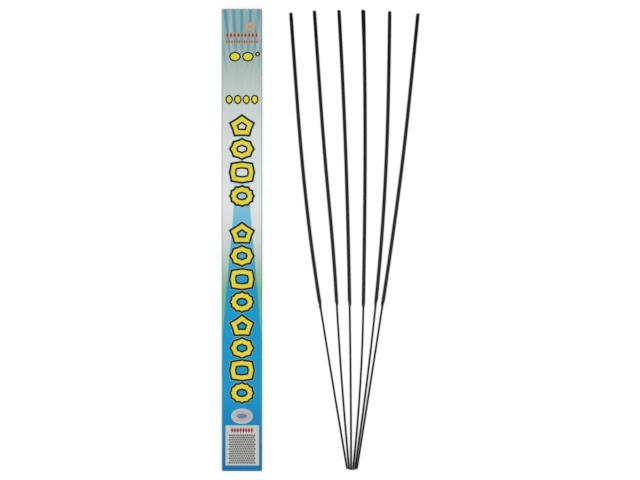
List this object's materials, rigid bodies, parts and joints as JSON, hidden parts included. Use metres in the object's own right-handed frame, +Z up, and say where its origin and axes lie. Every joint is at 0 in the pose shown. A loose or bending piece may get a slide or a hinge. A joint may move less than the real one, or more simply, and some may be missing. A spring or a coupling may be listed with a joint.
{
  "type": "sparkler set",
  "caption": "Long hand-held sparklers fanned out beside their flat printed carton, which has a hinged tuck lid at each end.",
  "frame": {"origin": "on the supporting surface, under the middle of the whole set's bounding box", "axes": "+Z up, away from the surface; +Y along the carton and towards the sparklers' coated tips; +X from the carton towards the sparklers"},
  "size_m": [0.3921, 0.917, 0.016],
  "materials": {
    "printed_board": "glossy printed board, blue and silver",
    "bare_board": "matt uncoated board",
    "wire_steel": "dull dark drawn wire",
    "sparkler_coating": "matt dark grey, finely rough"
  },
  "bodies": {
    "carton": {"front_panel": "printed_board", "back_panel": "printed_board", "left_side_panel": "printed_board", "right_side_panel": "printed_board", "glue_seam": "bare_board"},
    "top_lid": {"top_lid": "printed_board"},
    "top_tongue": {"top_tuck_tongue": "bare_board"},
    "top_left_flap": {"top_left_dust_flap": "bare_board"},
    "top_right_flap": {"top_right_dust_flap": "bare_board"},
    "bottom_lid": {"bottom_lid": "printed_board"},
    "bottom_tongue": {"bottom_tuck_tongue": "bare_board"},
    "bottom_left_flap": {"bottom_left_dust_flap": "bare_board"},
    "bottom_right_flap": {"bottom_right_dust_flap": "bare_board"},
    "sparkler_1": {"wire_1": "wire_steel", "coating_1": "sparkler_coating"},
    "sparkler_2": {"wire_2": "wire_steel", "coating_2": "sparkler_coating"},
    "sparkler_3": {"wire_3": "wire_steel", "coating_3": "sparkler_coating"},
    "sparkler_4": {"wire_4": "wire_steel", "coating_4": "sparkler_coating"},
    "sparkler_5": {"wire_5": "wire_steel", "coating_5": "sparkler_coating"},
    "sparkler_6": {"wire_6": "wire_steel", "coating_6": "sparkler_coating"}
  },
  "joints": [
    {"name": "top_lid_hinge", "type": "hinge", "parent": "carton", "child": "top_lid", "pos_m": [-0.15652, 0.4585, 0.016], "axis": [1, 0, 0], "range_deg": [0, 175]},
    {"name": "top_tongue_flex", "type": "hinge", "parent": "top_lid", "child": "top_tongue", "pos_m": [-0.15652, 0.4577, 0.0013], "axis": [1, 0, 0], "range_deg": [0, 21.5], "stiffness_Nm_per_rad": 0.005},
    {"name": "top_left_flap_hinge", "type": "hinge", "parent": "carton", "child": "top_left_flap", "pos_m": [-0.19602, 0.4577, 0.008], "axis": [0, 0, 1], "range_deg": [0, 87.5]},
    {"name": "top_right_flap_hinge", "type": "hinge", "parent": "carton", "child": "top_right_flap", "pos_m": [-0.11702, 0.4577, 0.008], "axis": [0, 0, -1], "range_deg": [0, 87.5]},
    {"name": "bottom_lid_hinge", "type": "hinge", "parent": "carton", "child": "bottom_lid", "pos_m": [-0.15652, -0.4585, 0.016], "axis": [-1, 0, 0], "range_deg": [0, 175]},
    {"name": "bottom_tongue_flex", "type": "hinge", "parent": "bottom_lid", "child": "bottom_tongue", "pos_m": [-0.15652, -0.4577, 0.0013], "axis": [-1, 0, 0], "range_deg": [0, 21.5], "stiffness_Nm_per_rad": 0.005},
    {"name": "bottom_left_flap_hinge", "type": "hinge", "parent": "carton", "child": "bottom_left_flap", "pos_m": [-0.19602, -0.4577, 0.008], "axis": [0, 0, -1], "range_deg": [0, 87.5]},
    {"name": "bottom_right_flap_hinge", "type": "hinge", "parent": "carton", "child": "bottom_right_flap", "pos_m": [-0.11702, -0.4577, 0.008], "axis": [0, 0, 1], "range_deg": [0, 87.5]},
    {"name": "sparkler_1_lift", "type": "slide", "parent": "carton", "child": "sparkler_1", "axis": [0, 0, 1], "range_m": [0, 0.15]},
    {"name": "sparkler_2_lift", "type": "slide", "parent": "carton", "child": "sparkler_2", "axis": [0, 0, 1], "range_m": [0, 0.15]},
    {"name": "sparkler_3_lift", "type": "slide", "parent": "carton", "child": "sparkler_3", "axis": [0, 0, 1], "range_m": [0, 0.15]},
    {"name": "sparkler_4_lift", "type": "slide", "parent": "carton", "child": "sparkler_4", "axis": [0, 0, 1], "range_m": [0, 0.15]},
    {"name": "sparkler_5_lift", "type": "slide", "parent": "carton", "child": "sparkler_5", "axis": [0, 0, 1], "range_m": [0, 0.15]},
    {"name": "sparkler_6_lift", "type": "slide", "parent": "carton", "child": "sparkler_6", "axis": [0, 0, 1], "range_m": [0, 0.15]}
  ],
  "couplings": [
    {"joint": "top_left_flap_hinge", "follows": "top_lid_hinge", "ratio": 0.5},
    {"joint": "top_right_flap_hinge", "follows": "top_lid_hinge", "ratio": 0.5},
    {"joint": "bottom_left_flap_hinge", "follows": "bottom_lid_hinge", "ratio": 0.5},
    {"joint": "bottom_right_flap_hinge", "follows": "bottom_lid_hinge", "ratio": 0.5}
  ]
}
